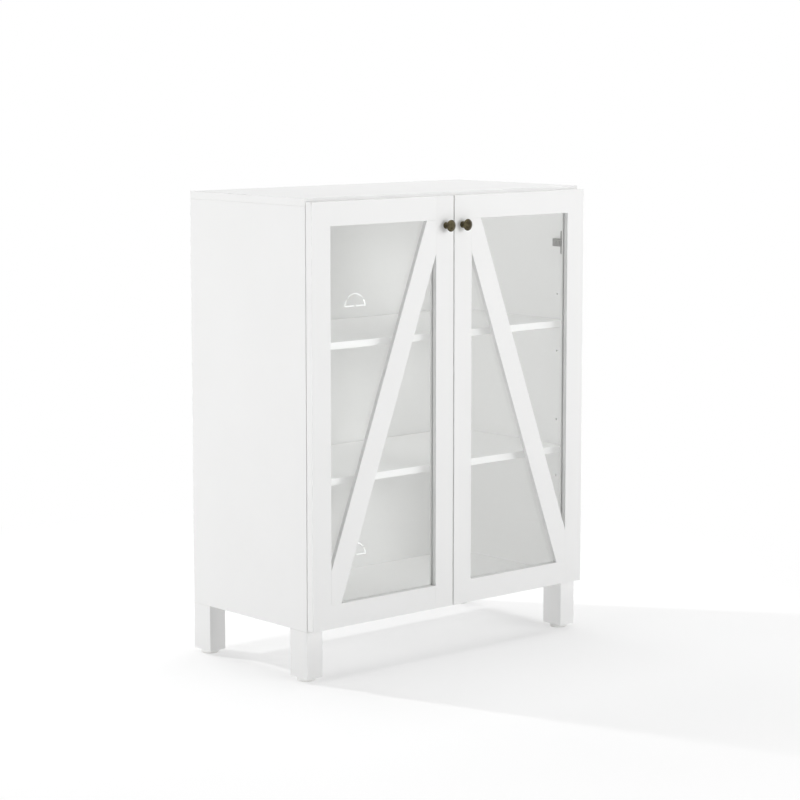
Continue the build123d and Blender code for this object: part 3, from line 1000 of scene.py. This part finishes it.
@dataclass
class CrossScrew:
    """Pan-head screw with a cross recess, head up, its head resting at height 0."""

    shank_radius: float = 0.002
    head_radius: float = 0.0036
    head_height: float = 0.0016
    length: float = 0.011
    edge: float = 0.0007
    recess_length: float = 0.0038
    recess_width: float = 0.0008
    recess_depth: float = 0.0011
    recess_taper: float = 0.6
    tip_share: float = 0.3
    collar: float = 0.0001
    edge_turn: float = 75.0
    edge_steps: int = 5
    head_middle: float = 0.0005
    sides: int = 32

    def profile(self) -> Profile:
        """Draw the outline.

        Returns:
            Points from the tip of the shank to the top of the head.
        """
        core = self.shank_radius
        points = [(core * self.tip_share, -self.length), (core, -self.length + core)]
        points += [(core, -self.collar), (self.head_radius, 0.0)]
        centre = (self.head_radius - self.edge, self.head_height - self.edge)
        points += Lathe.arc(centre, self.edge, 0.0, self.edge_turn, self.edge_steps)
        return [*points, (self.head_middle, self.head_height)]

    def recess(self) -> bmesh.types.BMesh:
        """Make the cutter for the cross.

        Returns:
            Two crossed blocks, wider at the mouth of the recess.
        """
        cutter = bmesh.new()
        for turn in (0.0, 90.0):
            block = bmesh.ops.create_cube(cutter, size=1.0)["verts"]
            for vertex in block:
                mouth = vertex.co.z > 0.0
                taper = 1.0 if mouth else self.recess_taper
                vertex.co.x *= self.recess_length * taper
                vertex.co.y *= self.recess_width * taper
                vertex.co.z = self.head_height + (self.edge if mouth else -self.recess_depth)
            spin = Matrix.Rotation(math.radians(turn), 3, "Z")
            bmesh.ops.rotate(cutter, verts=block, cent=(0.0, 0.0, 0.0), matrix=spin)
        return cutter

    def shape(self) -> bpy.types.Mesh:
        """Cut the recess into one screw.

        Returns:
            The screw's mesh.
        """
        body = self.as_object("screw_body", Lathe.turn(self.profile(), self.sides))
        cutter = self.as_object("screw_cutter", self.recess())
        cut = body.modifiers.new("recess", "BOOLEAN")
        cut.object = cutter
        cut.use_self = True
        seen = body.evaluated_get(bpy.context.evaluated_depsgraph_get())
        mesh = bpy.data.meshes.new_from_object(seen)
        for scrap in (body, cutter):
            bpy.data.objects.remove(scrap)
        return mesh

    @staticmethod
    def as_object(name: str, shape: bmesh.types.BMesh) -> bpy.types.Object:
        """Put a shape into the scene.

        Args:
            name: Name of the object.
            shape: The shape, which is freed.

        Returns:
            The object that holds it.
        """
        mesh = bpy.data.meshes.new(name)
        shape.to_mesh(mesh)
        shape.free()
        made = bpy.data.objects.new(name, mesh)
        bpy.context.scene.collection.objects.link(made)
        return made

    def at(self, places: list[Matrix]) -> bpy.types.Mesh:
        """Mesh of several like screws.

        Args:
            places: Where each screw goes.

        Returns:
            All of them as one mesh.
        """
        single = self.shape()
        joined = bmesh.new()
        for place in places:
            copy = single.copy()
            copy.transform(place)
            joined.from_mesh(copy)
            bpy.data.meshes.remove(copy)
        mesh = bpy.data.meshes.new("screws")
        joined.to_mesh(mesh)
        joined.free()
        return mesh


def aimed(spot: Point, direction: Point) -> Matrix:
    """Placement at a point with Z along a direction.

    Args:
        spot: Where the origin goes.
        direction: Where Z points.

    Returns:
        The placement.
    """
    return Matrix.Translation(spot) @ Vector(direction).to_track_quat("Z", "Y").to_matrix().to_4x4()


@dataclass
class Door:
    """One framed and braced door with its pane, knob and bumpers."""

    hand: Hand
    frame_edge: Rounding = FrameRounding(
        width=0.0007,
        shortest=0.015,
        cuts=(0.161, 0.9425),
        window_x=(0.0515, 0.3415),
    )
    brace_edge: Rounding = BraceRounding(width=0.0007, shortest=0.02)
    front: float = -0.191
    rear: float = -0.173
    knob_x: float = 0.024
    knob_z: float = 0.9305
    screw_reach: float = 0.010
    screw_head_radius: float = 0.004
    screw_head_height: float = 0.0024
    knob: Knob = field(default_factory=Knob)

    def build(self, bench: Bench) -> None:
        """Round the frame's edges, turn the knob and make its screw.

        Args:
            bench: Bench with the frame's nodes and the materials.
        """
        members = self.hand.named("outer_stile", "inner_stile", "top_rail", "bottom_rail")
        bench.soften(Slot.PAINT, self.frame_edge, *members)
        bench.soften(Slot.PAINT, self.brace_edge, *self.hand.named("brace"))
        x = self.hand.sign * self.knob_x
        place = aimed((x, self.front, self.knob_z), FORWARD)
        bench.stand_in(*self.hand.named("knob"), self.knob.shape(place), Slot.BRASS)
        screw = CrossScrew(
            head_radius=self.screw_head_radius,
            head_height=self.screw_head_height,
            length=self.rear - self.front + self.screw_reach,
        )
        behind = aimed((x, self.rear, self.knob_z), BACKWARD)
        bench.stand_in(*self.hand.named("knob_screw"), screw.at([behind]), Slot.STEEL)

    def dress(self, bench: Bench) -> None:
        """Finish the pane, its beads and the bumpers.

        Args:
            bench: Bench with the frame's nodes and the materials.
        """
        bench.dress(Slot.PAINT, *self.hand.named("glazing_beads"))
        bench.dress(Slot.GLASS, *self.hand.named("glass"))
        bench.dress(Slot.RUBBER, *self.hand.named("door_bumpers"))


@dataclass
class Hinges:
    """Both cup hinges of one door."""

    hand: Hand
    heights: tuple[float, float] = (0.231, 0.8725)
    inner_x: float = 0.3755
    cup_screw_x: float = 0.3595
    front: float = -0.171
    door_rear: float = -0.173
    flange: float = 0.001
    plate: float = 0.0016
    plate_setback: float = 0.028
    wing_spread: float = 0.016
    cup_spread: float = 0.0225
    clamp_rise: float = 0.0082
    clamp_setback: float = 0.041
    cup_screw_length: float = 0.012

    def build(self, bench: Bench) -> None:
        """Make the screws with their recesses.

        Args:
            bench: Bench with the frame's nodes and the materials.
        """
        side = self.hand.sign
        inward = (-side, 0.0, 0.0)
        wing_x = side * (self.inner_x - self.plate)
        wing_y = self.front + self.plate_setback
        clamp_x = side * (self.inner_x - self.clamp_rise)
        clamp_y = self.front + self.clamp_setback
        cup_x = side * self.cup_screw_x
        cup_y = self.door_rear + self.flange
        wings = []
        clamps = []
        cups = []
        for z in self.heights:
            for step in (-1.0, 1.0):
                wings.append(aimed((wing_x, wing_y, z + step * self.wing_spread), inward))
                cups.append(aimed((cup_x, cup_y, z + step * self.cup_spread), BACKWARD))
            clamps.append(aimed((clamp_x, clamp_y, z), inward))
        screws = CrossScrew().at(wings)
        self.join(screws, CrossScrew(length=self.clamp_rise).at(clamps))
        bench.stand_in(*self.hand.named("plate_screws"), screws, Slot.STEEL)
        cup_screws = CrossScrew(length=self.cup_screw_length).at(cups)
        bench.stand_in(*self.hand.named("cup_screws"), cup_screws, Slot.STEEL)

    @staticmethod
    def join(mesh: bpy.types.Mesh, other: bpy.types.Mesh) -> None:
        """Add another mesh to a mesh.

        Args:
            mesh: The mesh that grows.
            other: The mesh that is added.
        """
        both = bmesh.new()
        both.from_mesh(mesh)
        both.from_mesh(other)
        both.to_mesh(mesh)
        both.free()

    def dress(self, bench: Bench) -> None:
        """Plate the stampings and pins."""
        stampings = ("hinge_plates", "hinge_arms", "outer_links", "inner_links", "hinge_cups")
        bench.dress(Slot.STEEL, *self.hand.named(*stampings, "arm_pins", "cup_pins"))


@dataclass(frozen=True)
class Lamp:
    """Square lamp aimed at the cabinet.

    Attributes:
        name: Name of the lamp.
        spot: Its place.
        size: Length of its sides.
        power: Its power in watts.
        reaches: The pieces that it lights, or none where it lights everything.
        stopped_by: The pieces that cast its shadows, or none where everything does.
        glints: Whether glass and gloss show the lamp.
    """

    name: str
    spot: Point
    size: float
    power: float
    reaches: tuple[str, ...] = ()
    stopped_by: tuple[str, ...] = ()
    glints: bool = True


SHELVING = ("right_side_panel", "bottom_panel_dressed", "lower_shelf", "upper_shelf")
BEADS = ("left_glazing_beads", "right_glazing_beads")
SHELL = ("floor", "right_side_panel", "back_panel")


@dataclass
class Studio:
    """White room with a pale floor, even light, soft lamps all round and fill lamps for the inside."""

    floor_half: float = 30.0
    floor_colour: Colour = (0.52, 0.52, 0.52)
    floor_glow: float = 0.28
    floor_lift: float = 0.16
    fade_start: float = 0.75
    fade_end: float = 1.7
    sky: float = 0.15
    light_bounces: int = 10
    aim: Point = (0.0, 0.0, 0.5)
    lamps: tuple[Lamp, ...] = (
        Lamp("front_wall", (1.0, -6.0, 1.5), 2.6, 115.0, glints=False),
        Lamp("right_wall", (3.6, -5.2, 3.2), 2.6, 70.0, glints=False),
        Lamp("left_wall", (-5.0, 1.2, 0.4), 3.0, 174.0, glints=False),
        Lamp("far_wall", (5.0, 1.2, 1.4), 2.6, 40.0, glints=False),
        Lamp("rear_wall", (0.5, 6.0, 2.0), 2.6, 85.0, glints=False),
        Lamp("ceiling", (0.4, 0.0, 4.2), 2.4, 72.0),
        Lamp("back_lamp", (-1.315, 2.49, 2.25), 0.12, 45.0, ("floor",)),
        Lamp("inside_fill", (-2.8, -0.9, 2.1), 1.2, 12.5, (*SHELVING, *BEADS, "front_right_leg"), SHELL),
        Lamp("back_fill", (-2.8, -0.9, 0.1), 1.2, 10.5, ("back_panel",), ("floor",)),
        Lamp("slit_fill", (-3.0, 0.19, 0.9), 0.2, 45.0, ("back_panel",), ("floor",)),
        Lamp("shelf_fill", (-1.6, -2.6, 2.6), 1.2, 33.0, SHELVING, SHELL),
        Lamp("floor_wash", (0.3, 1.2, 4.0), 3.6, 36.0, ("floor",)),
    )

    def build(self) -> None:
        """Lay the floor, light the room and set the plain view transform."""
        self.lay_floor()
        self.light_world()
        for lamp in self.lamps:
            self.hang(lamp)
        bpy.context.scene.view_settings.view_transform = "Standard"
        bpy.context.scene.cycles.diffuse_bounces = self.light_bounces

    def lay_floor(self) -> None:
        """Floor that keeps the shadow and turns plain white further out."""
        shape = bmesh.new()
        bmesh.ops.create_grid(shape, x_segments=1, y_segments=1, size=self.floor_half)
        mesh = bpy.data.meshes.new("floor")
        shape.to_mesh(mesh)
        shape.free()
        floor = bpy.data.objects.new("floor", mesh)
        bpy.context.scene.collection.objects.link(floor)
        material = bpy.data.materials.new("studio_floor")
        graph = Graph(material)
        where = graph.place()
        reach = graph.add("ShaderNodeVectorMath", {"operation": "LENGTH"}, {0: where}, "Value")
        near = graph.add("ShaderNodeBsdfDiffuse", None, {"Color": (*self.floor_colour, 1.0)})
        glow = self.floor_glow + self.floor_lift * graph.seen()
        lift = graph.add("ShaderNodeEmission", None, {"Strength": glow})
        lifted = graph.add("ShaderNodeAddShader", None, {0: near, 1: lift})
        white = graph.add("ShaderNodeEmission", None, {"Strength": 1.0})
        graph.show(graph.blend(reach.over(self.fade_start, self.fade_end), lifted, white))
        mesh.materials.append(material)

    def light_world(self) -> None:
        """Even white light from all round."""
        world = bpy.data.worlds.new("white_room")
        bpy.context.scene.world = world
        graph = Graph(world)
        level = self.sky + (1.0 - self.sky) * graph.seen()
        sky = graph.add("ShaderNodeBackground", None, {"Color": WHITE, "Strength": level})
        graph.show(sky, "ShaderNodeOutputWorld")

    def hang(self, lamp: Lamp) -> None:
        """Hang one lamp.

        Args:
            lamp: The lamp, which is aimed at the middle of the cabinet.
        """
        data = bpy.data.lights.new(lamp.name, "AREA")
        data.size = lamp.size
        data.energy = lamp.power
        hung = bpy.data.objects.new(lamp.name, data)
        bpy.context.scene.collection.objects.link(hung)
        hung.location = lamp.spot
        hung.visible_glossy = lamp.glints
        hung.rotation_euler = (Vector(self.aim) - Vector(lamp.spot)).to_track_quat("-Z", "Y").to_euler()
        if lamp.reaches:
            hung.light_linking.receiver_collection = self.gathered(f"{lamp.name}_reaches", lamp.reaches)
        if lamp.stopped_by:
            hung.light_linking.blocker_collection = self.gathered(f"{lamp.name}_stops", lamp.stopped_by)

    @staticmethod
    def gathered(name: str, pieces: tuple[str, ...]) -> bpy.types.Collection:
        """List pieces for a lamp.

        Args:
            name: Name of the list.
            pieces: Names of the pieces.

        Returns:
            A collection outside the scene that holds them.
        """
        listed = bpy.data.collections.new(name)
        for piece in pieces:
            listed.objects.link(bpy.data.objects[piece])
        return listed


@dataclass
class PhotoCamera:
    """Camera at the photograph's place."""

    spot: Point = (-3.52519, -3.98610, 1.26944)
    pitch: float = -6.90
    heading: float = 41.62
    lens: float = 110.278
    sensor: float = 36.0
    shift: float = -0.05
    farthest: float = 100.0

    def build(self) -> None:
        """Set the camera up as the scene's own."""
        data = bpy.data.cameras.new("photo_camera")
        data.sensor_width = self.sensor
        data.lens = self.lens
        data.shift_y = self.shift
        data.clip_end = self.farthest
        camera = bpy.data.objects.new("photo_camera", data)
        bpy.context.scene.collection.objects.link(camera)
        camera.location = self.spot
        camera.rotation_euler = Euler((math.radians(90.0 + self.pitch), 0.0, math.radians(-self.heading)))
        bpy.context.scene.camera = camera


def main() -> None:
    """Build and dress every sub-assembly, then set the room and the camera."""
    logging.basicConfig(level=logging.INFO, format="%(name)s: %(message)s")
    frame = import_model()
    bench = Bench(frame)
    doors = [Door(hand) for hand in Hand]
    hinges = [Hinges(hand) for hand in Hand]
    case = Case()
    shelves = Shelves()
    for assembly in (case, shelves, *doors, *hinges):
        assembly.build(bench)
    for assembly in (case, Legs(), shelves, *doors, *hinges):
        assembly.dress(bench)
    Studio().build()
    PhotoCamera().build()


if __name__ == "__main__":
    main()
